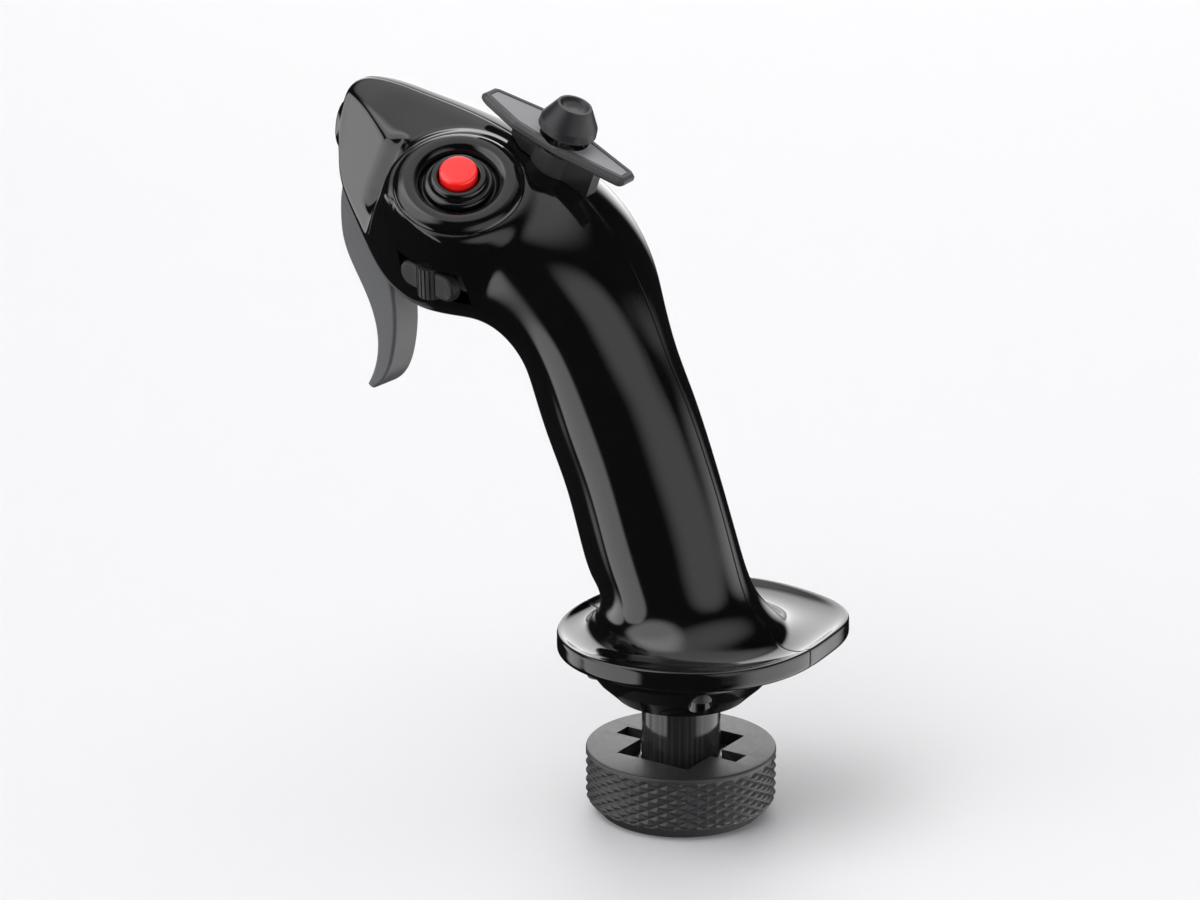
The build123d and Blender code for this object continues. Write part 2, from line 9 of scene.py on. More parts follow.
import bmesh
import bpy
import numpy as np
from mathutils import Matrix, Vector
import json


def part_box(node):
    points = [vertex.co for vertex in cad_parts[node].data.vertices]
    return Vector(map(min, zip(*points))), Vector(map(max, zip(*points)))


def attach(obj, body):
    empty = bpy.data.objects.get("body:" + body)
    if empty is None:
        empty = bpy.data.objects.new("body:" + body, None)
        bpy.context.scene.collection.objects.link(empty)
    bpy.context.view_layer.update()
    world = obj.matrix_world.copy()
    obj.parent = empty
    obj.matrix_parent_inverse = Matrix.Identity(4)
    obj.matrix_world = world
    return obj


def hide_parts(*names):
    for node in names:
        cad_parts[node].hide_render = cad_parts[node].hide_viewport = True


MM = 0.001
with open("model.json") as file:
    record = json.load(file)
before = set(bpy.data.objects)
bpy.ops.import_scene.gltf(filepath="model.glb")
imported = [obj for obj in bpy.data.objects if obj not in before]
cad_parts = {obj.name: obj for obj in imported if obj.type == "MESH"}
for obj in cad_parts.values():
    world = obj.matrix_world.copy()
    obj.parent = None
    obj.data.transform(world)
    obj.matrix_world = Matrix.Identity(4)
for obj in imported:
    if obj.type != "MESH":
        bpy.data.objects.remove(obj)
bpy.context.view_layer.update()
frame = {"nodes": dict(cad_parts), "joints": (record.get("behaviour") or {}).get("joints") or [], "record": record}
joints = {joint["name"]: joint for joint in frame["joints"]}

# ---------------------------------------------------------------- sizes
SMOOTH_ANGLE = 40.0             # edges sharper than this stay sharp, in degrees
SEAM_RADIUS = 0.30              # rounding of the edge of each shell along the seam
SEAM_GAP = 0.07                 # half the gap between the shells
SEAM_COLUMNS = 5                # points across that rounding
SEAM_BLEND = 6.0                # width over which the skin gives way to it
ROW_STEP = 0.75                 # spacing of the skin's rows
HALF_COLUMNS = 150              # points of half a section
CREASE = 20.0                   # how sharply the faces of the skin meet
CANT_ANGLE = 30.0               # of the slanted upper faces, either side of the back, in degrees
RIGHT_CANT_OUT = 1.6            # how much further out the slanted face is on the right
FLAT_ANGLE = 53.6               # of the flats along the shaft's front, either side of it, in degrees
FAR = 60.0                      # a face this far out barely touches the section

FLANGE_CENTRE = (0.0, -1.7)
FLANGE_OUTLINE = [
    (0.0, 27.4), (-11.5, 26.0), (-23.0, 20.5), (-31.0, 10.5), (-33.6, -1.0), (-31.5, -14.0),
    (-24.0, -26.5), (-12.5, -33.5), (0.0, -35.6), (12.5, -34.8), (24.5, -32.0), (31.5, -26.0),
    (35.6, -15.5), (37.0, -3.5), (34.0, 9.0), (26.0, 19.0), (13.5, 25.6),
]

# Sections of the skin from the flange up and forward to the nose. back and front are a section's two
# points in the plane of symmetry, as (y, z). The powers square off its two halves; cant and flat are
# how far from its centre the slanted upper faces and the flats lie.
Station = namedtuple("Station", "back front half_width front_power back_power cant flat")
STATIONS = [
    Station((-24.6, 49.4), (21.2, 48.4), 20.6, 2.0, 2.0, FAR, 22.0),
    Station((-19.2, 54.9), (20.4, 51.6), 17.8, 2.0, 1.9, FAR, 18.2),
    Station((-16.2, 60.9), (21.2, 54.0), 17.2, 2.0, 1.8, FAR, 17.1),
    Station((-13.4, 69.4), (23.2, 56.4), 17.0, 2.0, 1.75, FAR, 16.8),
    Station((-5.8, 90.8), (30.2, 76.8), 17.0, 2.0, 1.75, FAR, 16.8),
    Station((-0.4, 103.4), (35.8, 89.8), 17.2, 2.0, 1.8, FAR, 16.9),
    Station((5.2, 114.6), (39.6, 101.6), 17.8, 2.05, 1.85, FAR, 17.2),
    Station((9.6, 124.2), (41.8, 109.0), 19.2, 2.15, 2.0, 22.0, 19.5),
    Station((14.5, 133.1), (45.8, 114.4), 21.4, 2.3, 2.3, 22.0, 28.0),
    Station((21.7, 142.5), (50.8, 116.6), 23.8, 2.45, 2.45, 22.2, FAR),
    Station((30.4, 150.4), (56.4, 116.8), 25.4, 2.6, 2.6, 22.4, FAR),
    Station((40.4, 157.2), (62.4, 116.6), 25.6, 2.6, 2.6, 22.5, FAR),
    Station((52.0, 162.5), (68.8, 117.0), 23.6, 2.6, 2.6, 22.6, FAR),
    Station((63.0, 165.9), (75.6, 118.6), 20.0, 2.5, 2.5, 22.0, FAR),
    Station((73.0, 168.1), (81.8, 123.0), 16.4, 2.5, 2.5, 20.2, FAR),
    Station((81.6, 169.5), (87.4, 130.5), 13.4, 2.5, 2.5, 17.6, FAR),
    Station((88.4, 169.9), (92.6, 137.5), 10.6, 2.4, 2.4, 14.8, FAR),
    Station((93.2, 168.2), (96.0, 144.0), 7.6, 2.2, 2.2, FAR, FAR),
    Station((96.4, 163.6), (97.8, 150.4), 4.2, 2.0, 2.0, FAR, FAR),
]
LEFT, RIGHT = 1, -1
SHELL = {LEFT: "left_shell", RIGHT: "right_shell"}
SKIN = {LEFT: "skin_left", RIGHT: "skin_right"}


# ---------------------------------------------------------------- local frames
def local_frame(origin, normal, forward):
    """4x4 matrix (mm) of a local frame at origin, Z along normal and X as near to forward as it can be."""
    z = Vector(normal).normalized()
    x = Vector(forward)
    x = (x - z * x.dot(z)).normalized()
    y = z.cross(x)
    rotation = Matrix((x, y, z)).transposed().to_4x4()
    return Matrix.Translation(Vector(origin)) @ rotation


FORWARD = (0, 1, 0)
HAT_PIVOT_DEPTH = 6.0           # of the gimbal below the hat's own origin
BUTTON_POINT = (-20.0, 49.7, 152.4)
ROCKER_POINT = (-25.0, 54.2, 129.9)
button_axis = -Vector(joints["thumb_press"]["axis"])
BUTTON = local_frame(BUTTON_POINT, button_axis, FORWARD)
hat_x = Vector(joints["hat_roll"]["axis"])
hat_normal = hat_x.cross(Vector(joints["hat_pitch"]["axis"]))
hat_pivot = Vector(joints["hat_roll"]["pos_m"]) / MM
HAT = local_frame(hat_pivot + hat_normal * HAT_PIVOT_DEPTH, hat_normal, hat_x)
ROCKER = local_frame(ROCKER_POINT, (-0.955, 0.2, -0.17), (0, 1, 0.12))


# ---------------------------------------------------------------- mesh helpers
def make_object(name, points, faces, matrix=None, smooth_angle=SMOOTH_ANGLE):
    """A mesh object from points in millimetres; edges sharper than smooth_angle stay sharp."""
    mesh = bpy.data.meshes.new(name)
    if matrix is not None:
        rotation = np.array(matrix.to_3x3())
        points = np.asarray(points, float) @ rotation.T + np.array(matrix.translation)
    mesh.from_pydata((np.asarray(points, float) * MM).tolist(), [], [tuple(f) for f in faces])
    mesh.validate()
    work = bmesh.new()
    work.from_mesh(mesh)
    bmesh.ops.recalc_face_normals(work, faces=work.faces)
    work.to_mesh(mesh)
    work.free()
    mesh.shade_smooth()
    mesh.set_sharp_from_angle(angle=math.radians(smooth_angle))
    made = bpy.data.objects.new(name, mesh)
    bpy.context.scene.collection.objects.link(made)
    return made


def grid_faces(rows, columns, wrap=False):
    """Quads of a grid of points stored row by row."""
    faces = []
    for i in range(rows - 1):
        for j in range(columns if wrap else columns - 1):
            k = (j + 1) % columns
            faces.append((i * columns + j, i * columns + k, (i + 1) * columns + k, (i + 1) * columns + j))
    return faces


def ring_points(radius, height, angle):
    """Points about Z at the given angles; radius and height are single values or one for each angle."""
    return np.stack(np.broadcast_arrays(radius * np.cos(angle), radius * np.sin(angle), height), -1)


def turned(name, profile, matrix, columns, smooth_angle):
    """A surface turned about the local Z from (radius, height) points.

    It is closed if the profile starts and ends on the axis, or ends where it starts.
    """
    angle = np.linspace(0, 2 * math.pi, columns, endpoint=False)
    points = [ring_points(radius, height, angle) for radius, height in profile]
    faces = grid_faces(len(profile), columns, wrap=True)
    if profile[0] == profile[-1]:
        points.pop()
        last = (len(profile) - 1) * columns
        faces = [tuple(v % last for v in f) for f in faces]
    return make_object(name, np.concatenate(points), faces, matrix, smooth_angle)


LARGEST_SHARE = 0.45            # of the shorter side of a corner that its rounding may take


def rounded(profile, reaches, steps):
    """The profile with a small curve at each corner but the ends, reaching as far as reaches says."""
    out = [tuple(profile[0])]
    for i in range(1, len(profile) - 1):
        a, b, c = (np.array(profile[k], float) for k in (i - 1, i, i + 1))
        before, after = np.linalg.norm(a - b), np.linalg.norm(c - b)
        reach = min(reaches[i], before * LARGEST_SHARE, after * LARGEST_SHARE)
        start = b + (a - b) / before * reach
        end = b + (c - b) / after * reach
        for t in np.linspace(0, 1, steps):
            out.append(tuple((1 - t) ** 2 * start + 2 * t * (1 - t) * b + t * t * end))
    out.append(tuple(profile[-1]))
    return out


def spline_through(values, at, sample):
    """Natural cubic spline through values (first axis) that lie at the points at, read at sample."""
    values = np.asarray(values, float)
    flat = values.reshape(len(values), -1)
    n = len(at)
    h = np.diff(at)
    system = np.eye(n)
    right = np.zeros_like(flat)
    for i in range(1, n - 1):
        system[i, i - 1] = h[i - 1]
        system[i, i] = 2 * (h[i - 1] + h[i])
        system[i, i + 1] = h[i]
        right[i] = 6 * ((flat[i + 1] - flat[i]) / h[i] - (flat[i] - flat[i - 1]) / h[i - 1])
    second = np.linalg.solve(system, right)
    k = np.clip(np.searchsorted(at, sample, side="right") - 1, 0, n - 2)
    a = ((at[k + 1] - sample) / h[k])[:, None]
    b = 1 - a
    hk = h[k][:, None]
    curve = a * flat[k] + b * flat[k + 1]
    curve += ((a ** 3 - a) * second[k] + (b ** 3 - b) * second[k + 1]) * hk ** 2 / 6
    return curve.reshape((len(sample),) + values.shape[1:])


def cut(target, tools, smooth_angle=SMOOTH_ANGLE):
    """Cuts every tool out of the target mesh for good."""
    for tool in tools:
        step = target.modifiers.new("cut", "BOOLEAN")
        step.operation = "DIFFERENCE"
        step.solver = "EXACT"
        step.object = tool
    graph = bpy.context.evaluated_depsgraph_get()
    mesh = bpy.data.meshes.new_from_object(target.evaluated_get(graph))
    target.modifiers.clear()
    target.data = mesh
    mesh.shade_smooth()
    mesh.set_sharp_from_angle(angle=math.radians(smooth_angle))


def remove(shapes):
    """Takes the tools out of the scene once they have been used."""
    for shape in shapes:
        bpy.data.objects.remove(shape)


def box_shape(name, low, high, matrix=None):
    """A plain box, for cutting."""
    points = [(x, y, z) for x in (low[0], high[0]) for y in (low[1], high[1]) for z in (low[2], high[2])]
    faces = [(0, 1, 3, 2), (4, 6, 7, 5), (0, 4, 5, 1), (2, 3, 7, 6), (0, 2, 6, 4), (1, 5, 7, 3)]
    return make_object(name, points, faces, matrix)


def rod_shape(name, radius, low, high, matrix=None):
    """A plain rod about the local Z, for cutting."""
    columns = 96
    angle = np.linspace(0, 2 * math.pi, columns, endpoint=False)
    points = np.concatenate([ring_points(radius, z, angle) for z in (low, high)])
    faces = [(j, (j + 1) % columns, columns + (j + 1) % columns, columns + j) for j in range(columns)]
    faces += [tuple(range(columns))[::-1], tuple(range(columns, 2 * columns))]
    return make_object(name, points, faces, matrix)


# ---------------------------------------------------------------- skin of the grip
def section(station, angle):
    """Skin points of a section at the given angles: 0 is +X and 90 degrees is towards the back."""
    back, front = np.array(station.back), np.array(station.front)
    centre = (back + front) / 2
    depth = np.linalg.norm(back - front) / 2
    up = (back - front) / 2 / depth
    c, s = np.abs(np.cos(angle)), np.abs(np.sin(angle))
    power = np.where(np.sin(angle) > 0, station.back_power, station.front_power)
    total = ((c / station.half_width) ** power + (s / depth) ** power) ** (CREASE / power)
    faces = (
        (90 - CANT_ANGLE, station.cant + RIGHT_CANT_OUT), (90 + CANT_ANGLE, station.cant),
        (-90 + FLAT_ANGLE, station.flat), (-90 - FLAT_ANGLE, station.flat),
    )
    for normal, distance in faces:
        total = total + np.maximum(0.0, np.cos(angle - math.radians(normal)) / distance) ** CREASE
    radius = total ** (-1 / CREASE)
    along = radius * np.sin(angle)
    return np.stack([radius * np.cos(angle), centre[0] + up[0] * along, centre[1] + up[1] * along], -1)


def flange_radius(direction):
    """Distance from the flange's centre to its outline in each direction."""
    outline = np.array(FLANGE_OUTLINE) - FLANGE_CENTRE
    turn = np.arctan2(outline[:, 1], outline[:, 0])
    order = np.argsort(turn)
    turn, reach = turn[order], np.linalg.norm(outline[order], axis=1)
    at = np.concatenate([turn - 2 * math.pi, turn, turn + 2 * math.pi])
    values = np.tile(reach, 3)[:, None]
    return spline_through(values, at, direction)[:, 0]


# Profile of the saucer from the foot of the shaft out to its rim and back in under it:
# (share, height). Above the equator, share is of the way from the foot out to the outline; below
# it, share is of the outline itself.
SAUCER_EQUATOR = 44.5
SAUCER = [
    (0.10, 47.9), (0.26, 46.75), (0.48, 46.3), (0.70, 46.55), (0.86, 47.25), (0.94, 47.65),
    (0.975, 47.6), (0.995, 47.2), (1.0, 46.5), (1.0, 45.2), (1.0, 44.0), (0.996, 43.3),
    (0.98, 42.75), (0.95, 42.5), (0.88, 42.42), (0.7, 42.4), (0.4, 42.4),
]


def saucer_rows(foot):
    """Rows of the flange under the shaft's lowest section, column by column."""
    away = foot[:, :2] - FLANGE_CENTRE
    direction = np.arctan2(away[:, 1], away[:, 0])
    foot_reach = np.linalg.norm(away, axis=1)
    rim = flange_radius(direction)
    rows = []
    for share, height in SAUCER:
        over = height > SAUCER_EQUATOR
        reach = foot_reach + (rim - foot_reach) * share if over else rim * share
        rows.append(ring_points(reach, height, direction) + (*FLANGE_CENTRE, 0.0))
    return rows


NOSE_STEPS = ((0.92, 0.55), (0.74, 1.0), (0.5, 1.25), (0.25, 1.35))     # (share, distance ahead)


def nose_rows(last):
    """Rows that close the nose: the last section shrunk to each share and moved ahead."""
    centre = (last[0] + last[-1]) / 2
    return [centre + (last - centre) * share + np.array([0, ahead, 0]) for share, ahead in NOSE_STEPS]


def smooth_max(a, b, reach):
    """The larger of a and b, with the corner between them rounded."""
    return np.maximum(a, b) + np.maximum(reach - np.abs(a - b), 0) ** 2 / (4 * reach)


def normals_of(points):
    """Outward normals of a grid of points (rows, columns, 3)."""
    along = np.gradient(points, axis=0)
    across = np.gradient(points, axis=1)
    normal = np.cross(along, across)
    return normal / np.maximum(np.linalg.norm(normal, axis=-1, keepdims=True), 1e-9)


BOSS_TOP_RADIUS = 17.3
BOSS_FOOT_RADIUS = 21.6
BOSS_DEPTH = 16.0
BOSS_SIDE_POWER = 1.25                  # 1 makes its side a cone; above 1 the side bulges
BOSS_SIDE_END = 1.6                     # where the side stops going down; 1 is its foot
BOSS_EDGE = 2.2                         # width of the turned-down edge of its top
BOSS_DROP = 0.9                         # how far that edge goes down
BOSS_FILLET = 2.6                       # how softly it grows out of the skin
BOSS_REACH = 6.0                        # past its foot, where the skin is left alone
BOSS_FACING = (0.02, 0.22)              # cosine to the button's axis where it starts and is whole
BOSS_SMOOTHING = 6                      # passes over the points
NOSE_POINT = (-14.2, 76.5, 152.0)       # the flat on the nose's left side
NOSE_NORMAL = (-0.906, 0.415, 0.086)
NOSE_FLAT_BACK = 66.0                   # y at which the flat starts to show
NOSE_FLAT_BLEND = 6.0
NOSE_FLAT_ROUNDING = 0.8
FLUTE = ((-16.8, 68.2, 164.3), (-13.0, 81.5, 139.5))
FLUTE_INWARD = (0.86, -0.5, 0.0)
FLUTE_DEPTH = 2.2
FLUTE_WIDTH = 2.2
FLUTE_RUN_OUT = 0.2                     # share of its length over which each end fades


def with_boss(points, normal):
    """Raises the island that carries the thumb button out of the skin."""
    inverse = np.array(BUTTON.inverted())
    local = points @ inverse[:3, :3].T + inverse[:3, 3]
    rho = np.hypot(local[..., 0], local[..., 1])
    slope = (rho - BOSS_TOP_RADIUS) / (BOSS_FOOT_RADIUS - BOSS_TOP_RADIUS)
    slope = np.clip(slope, 0, BOSS_SIDE_END)
    edge = -BOSS_DROP * np.clip((rho - BOSS_TOP_RADIUS + BOSS_EDGE) / BOSS_EDGE, 0, 1) ** 2
    side = -BOSS_DROP - BOSS_DEPTH * slope ** BOSS_SIDE_POWER
    island = np.where(rho < BOSS_TOP_RADIUS, edge, side)
    outward = np.array(BUTTON.to_3x3().col[2])
    away, toward = BOSS_FACING
    weight = np.clip((normal @ outward - away) / (toward - away), 0, 1)
    weight *= rho < BOSS_FOOT_RADIUS + BOSS_REACH
    lift = (smooth_max(local[..., 2], island, BOSS_FILLET) - local[..., 2]) * weight
    for _ in range(BOSS_SMOOTHING):
        beside = lift[:-2, 1:-1] + lift[2:, 1:-1] + lift[1:-1, :-2] + lift[1:-1, 2:]
        lift[1:-1, 1:-1] = (2 * lift[1:-1, 1:-1] + beside) / 6
    return points + lift[..., None] * outward


def with_nose_flat(points):
    """Planes off the nose's left side and presses the flute behind it."""
    normal = np.array(NOSE_NORMAL) / np.linalg.norm(NOSE_NORMAL)
    out = (points - np.array(NOSE_POINT)) @ normal
    near = np.clip((points[..., 1] - NOSE_FLAT_BACK) / NOSE_FLAT_BLEND, 0, 1)
    over = smooth_max(out, np.zeros_like(out), NOSE_FLAT_ROUNDING) * near
    points = points - over[..., None] * normal
    start, end = (np.array(p) for p in FLUTE)
    line = end - start
    t = np.clip(((points - start) @ line) / (line @ line), 0, 1)
    away = np.linalg.norm(points - (start + t[..., None] * line), axis=-1)
    ends = np.clip(t / FLUTE_RUN_OUT, 0, 1) * np.clip((1 - t) / FLUTE_RUN_OUT, 0, 1)
    press = FLUTE_DEPTH * np.exp(-(away / FLUTE_WIDTH) ** 2) * ends
    return points + press[..., None] * np.array(FLUTE_INWARD)


def skin_grid(side):
    """Rows and columns of one half of the skin, from the flange's underside up to the nose."""
    angle = side * math.pi / 2 + math.pi * np.linspace(0, 1, HALF_COLUMNS)
    sections = [section(station, angle) for station in STATIONS]
    rows = np.array(saucer_rows(sections[0])[::-1] + sections + nose_rows(sections[-1]))
    rows[:, 0, 0] = 0
    rows[:, -1, 0] = 0
    spacing = np.linalg.norm(np.diff(rows, axis=0), axis=-1)
    at = np.concatenate([[0], np.cumsum(spacing.mean(1))])
    sample = []
    for i in range(len(at) - 1):
        steps = max(2, int(math.ceil((at[i + 1] - at[i]) / ROW_STEP)))
        sample += list(np.linspace(at[i], at[i + 1], steps, endpoint=False))
    sample.append(at[-1])
    points = spline_through(rows, at, np.array(sample))
    if side == LEFT:
        points = with_nose_flat(points)
        points = with_boss(points, normals_of(points))
    return points


def seam_columns(points, side):
    """Gives a shell the rounded edge that it has along the seam."""
    beside = np.abs(points[..., 0])
    clear = SEAM_GAP + SEAM_RADIUS
    points[..., 0] = -side * (beside + clear * np.clip(1 - beside / SEAM_BLEND, 0, 1))
    ends = []
    for edge, sign in ((points[:, 0], side), (points[:, -1], -side)):
        along = np.gradient(edge, axis=0)
        inward = sign * np.cross(along, np.array([1.0, 0, 0]))
        inward /= np.linalg.norm(inward, axis=-1, keepdims=True)
        columns = []
        for turn in np.radians(np.linspace(0, 90, SEAM_COLUMNS)):
            shift = edge + inward * SEAM_RADIUS * (1 - math.cos(turn))
            shift[:, 0] = -side * (clear - SEAM_RADIUS * math.sin(turn))
            columns.append(shift)
        ends.append(columns)
    first, last = ends
    return np.stack(first[::-1] + [points[:, j] for j in range(1, points.shape[1] - 1)] + last, axis=1)


def skin_half(side):
    """One shell as a closed form: skin, seam edges and the flat face along the seam."""
    points = seam_columns(skin_grid(side), side)
    rows, columns = points.shape[:2]
    tip = points[-1].mean(0)
    tip[0] = points[-1, 0, 0]
    count = rows * columns
    vertices = np.concatenate([points.reshape(-1, 3), [tip]])
    last = (rows - 1) * columns
    faces = grid_faces(rows, columns)
    faces += [(last + j, last + j + 1, count) for j in range(columns - 1)]
    faces.append(tuple(range(columns))[::-1])
    outline = [i * columns for i in range(rows)] + [count]
    outline += [i * columns + columns - 1 for i in reversed(range(rows))]
    faces.append(tuple(outline))
    return make_object(SKIN[side], vertices, faces)


# Round holes as (radius, bottom, top) along their own axes.
BEZEL_SEAT = (15.5, -3.0, 20.0)
BUTTON_WELL = (12.2, -15.0, -2.9)
HAT_WELL = (6.7, -15.2, 1.0)
STEM_MOUTH = (14.4, 41.0, 60.0)
# Square ones as their low and high corners, the trigger's without their x.
ROCKER_WELL = ((-10.2, -4.6, -9.0), (10.2, 4.6, 12.0))
TRIGGER_WELL = ((73.5, 90.0), (94.6, 154.0))
TRIGGER_MOUTH = ((80.0, 90.0), (110.0, 147.0))
TRIGGER_PLAY = 0.6              # between the trigger and each side of its holes


def trigger_cutter(name, low, high):
    """A box as wide as the trigger and its play."""
    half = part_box("trigger")[1].x / MM + TRIGGER_PLAY
    return box_shape(name, (-half, *low), (half, *high))


def shell_cutters():
    """Everything that is let into the shells for the controls and the stem."""
    return [
        rod_shape("cut_bezel", *BEZEL_SEAT, BUTTON),
        rod_shape("cut_button", *BUTTON_WELL, BUTTON),
        trigger_cutter("cut_trigger", *TRIGGER_WELL),
        trigger_cutter("cut_trigger_front", *TRIGGER_MOUTH),
        box_shape("cut_rocker", *ROCKER_WELL, ROCKER),
        rod_shape("cut_tower", *HAT_WELL, HAT),
        rod_shape("cut_mouth", *STEM_MOUTH),
    ]


# ---------------------------------------------------------------- materials
def material(name, color, roughness, metallic=0.0, coat=0.0):
    """A plain Principled material; returns it with its tree and shader for the detail that follows."""
    made = bpy.data.materials.new(name)
    made.use_nodes = True
    tree = made.node_tree
    shader = tree.nodes["Principled BSDF"]
    shader.inputs["Base Color"].default_value = (*color, 1)
    shader.inputs["Roughness"].default_value = roughness
    shader.inputs["Metallic"].default_value = metallic
    shader.inputs["Coat Weight"].default_value = coat
    shader.inputs["Coat Roughness"].default_value = 0.05
    return made, tree, shader


def noise(tree, scale, detail=3.0):
    """Noise over the piece's own coordinates; scale is in cycles a metre."""
    node = tree.nodes.new("ShaderNodeTexNoise")
    node.inputs["Scale"].default_value = scale
    node.inputs["Detail"].default_value = detail
    node.inputs["Roughness"].default_value = 0.55
    coordinates = tree.nodes.new("ShaderNodeTexCoord").outputs["Object"]
    tree.links.new(coordinates, node.inputs["Vector"])
    return node.outputs["Fac"]


def spread(tree, value, low, high, from_low=0.3, from_high=0.7):
    """Spreads the part of a value between from_low and from_high over low to high."""
    node = tree.nodes.new("ShaderNodeMapRange")
    node.inputs["From Min"].default_value = from_low
    node.inputs["From Max"].default_value = from_high
    node.inputs["To Min"].default_value = low
    node.inputs["To Max"].default_value = high
    tree.links.new(value, node.inputs["Value"])
    return node.outputs["Result"]


def mix_color(tree, factor, first, second):
    """Mixes two plain colours by a socket."""
    node = tree.nodes.new("ShaderNodeMix")
    node.data_type = "RGBA"
    node.inputs[6].default_value = (*first, 1)
    node.inputs[7].default_value = (*second, 1)
    tree.links.new(factor, node.inputs["Factor"])
    return node.outputs[2]


def bump(tree, shader, height, strength, distance):
    """Fine relief; distance is in metres."""
    node = tree.nodes.new("ShaderNodeBump")
    node.inputs["Strength"].default_value = strength
    node.inputs["Distance"].default_value = distance
    tree.links.new(height, node.inputs["Height"])
    tree.links.new(node.outputs["Normal"], shader.inputs["Normal"])


def edge_wear(tree, low=0.54, high=0.62):
    """1 on sharp outer edges and 0 elsewhere."""
    pointiness = tree.nodes.new("ShaderNodeNewGeometry").outputs["Pointiness"]
    return spread(tree, pointiness, 0.0, 1.0, low, high)


def vary_roughness(tree, shader, scale, low, high, detail=3.0):
    """Lets the roughness wander between low and high over the surface."""
    tree.links.new(spread(tree, noise(tree, scale, detail), low, high), shader.inputs["Roughness"])


def piano_black():
    """Polished moulding: deep gloss, faint waviness and a trace of handling in its shine."""
    made, tree, shader = material("piano_black", (0.0022, 0.0022, 0.0024), 0.10)
    vary_roughness(tree, shader, 38.0, 0.055, 0.10, detail=4.0)
    bump(tree, shader, noise(tree, 160.0, 2.0), strength=0.10, distance=0.00002)
    shader.inputs["IOR"].default_value = 1.52
    return made


def satin_plastic(name, color, roughness, grain=0.5, wear=0.04):
    """Moulded plastic with a fine spark-eroded grain, paler where edges are rubbed."""
    made, tree, shader = material(name, color, roughness)
    pale = tuple(min(1.0, c + wear) for c in color)
    tree.links.new(mix_color(tree, edge_wear(tree), color, pale), shader.inputs["Base Color"])
    vary_roughness(tree, shader, 90.0, roughness - 0.05, roughness + 0.06)
    shader.inputs["Specular IOR Level"].default_value = 0.35
    bump(tree, shader, noise(tree, 5200.0, 2.0), strength=grain, distance=0.00003)
    return made


def coated_metal(name, color, roughness, metallic, brush=0.25):
    """Coated or bare metal, finely brushed, with brighter rubbed edges."""
    made, tree, shader = material(name, color, roughness, metallic)
    pale = tuple(min(1.0, c * 1.8 + 0.03) for c in color)
    tree.links.new(mix_color(tree, edge_wear(tree, 0.52, 0.6), color, pale), shader.inputs["Base Color"])
    vary_roughness(tree, shader, 700.0, roughness - 0.03, roughness + 0.04)
    bump(tree, shader, noise(tree, 2600.0, 4.0), strength=brush, distance=0.00002)
    return made


def red_plastic():
    """Glossy red cap, moulded through."""
    made, tree, shader = material("red_cap", (0.95, 0.012, 0.011), 0.22, coat=0.3)
    shade = mix_color(tree, noise(tree, 300.0), (0.90, 0.010, 0.009), (0.98, 0.016, 0.014))
    tree.links.new(shade, shader.inputs["Base Color"])
    shader.inputs["Subsurface Weight"].default_value = 0.05
    shader.inputs["Subsurface Radius"].default_value = (0.002, 0.0006, 0.0004)
    bump(tree, shader, noise(tree, 900.0), strength=0.08, distance=0.00002)
    return made


GLOSS = piano_black()
SATIN = satin_plastic("satin_black", (0.016, 0.016, 0.018), 0.38)
DARK = satin_plastic("dark_plastic", (0.008, 0.008, 0.009), 0.50, grain=0.3, wear=0.02)
GREY = satin_plastic("trigger_grey", (0.075, 0.076, 0.080), 0.36, grain=0.35, wear=0.05)
INLAY = satin_plastic("inlay_grey", (0.19, 0.19, 0.198), 0.45, grain=0.4, wear=0.05)
NUT_METAL = coated_metal("nut_coating", (0.036, 0.036, 0.038), 0.42, metallic=0.35)
STEM_METAL = coated_metal("stem_coating", (0.010, 0.010, 0.011), 0.10, metallic=0.2, brush=0.08)
STEEL = coated_metal("steel", (0.30, 0.30, 0.31), 0.38, metallic=1.0)
BLACK_STEEL = coated_metal("black_oxide", (0.035, 0.035, 0.038), 0.32, metallic=0.8)
BRASS = coated_metal("contact_brass", (0.80, 0.58, 0.24), 0.22, metallic=1.0)
BOARD = satin_plastic("board_green", (0.01, 0.10, 0.04), 0.35, grain=0.2, wear=0.02)
CABLE = satin_plastic("cable_sleeve", (0.012, 0.012, 0.012), 0.55, grain=0.6, wear=0.02)
RED = red_plastic()
SLOT_MATERIAL = {
    "gloss_shell": GLOSS, "satin_black": SATIN, "grey_plastic": GREY, "red_gloss": RED,
    "inlay_silver": INLAY, "nut_dark": NUT_METAL, "stem_gloss": STEM_METAL, "steel": STEEL,
    "black_steel": BLACK_STEEL, "brass": BRASS, "board": BOARD, "cable": CABLE,
}


def paint(shape, made):
    """Makes this the only material of a shape."""
    shape.data.materials.clear()
    shape.data.materials.append(made)


def place(shape, body, slot, node):
    """Gives a new piece the material of its slot and its body, and hides the CAD node that it stands for."""
    paint(shape, SLOT_MATERIAL[slot])
    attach(shape, body)
    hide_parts(node)


for part in frame["record"]["subparts"]:
    paint(frame["nodes"][part["node"]], SLOT_MATERIAL[part["material_slot"]])
for node in ("hat_housing", "rocker_housing", "rocker_cap", "base_screws"):
    paint(frame["nodes"][node], DARK)

# ---------------------------------------------------------------- grip
tools = shell_cutters()
for side in (LEFT, RIGHT):
    half = skin_half(side)
    cut(half, tools)
    place(half, "grip", "gloss_shell", SHELL[side])
remove(tools)


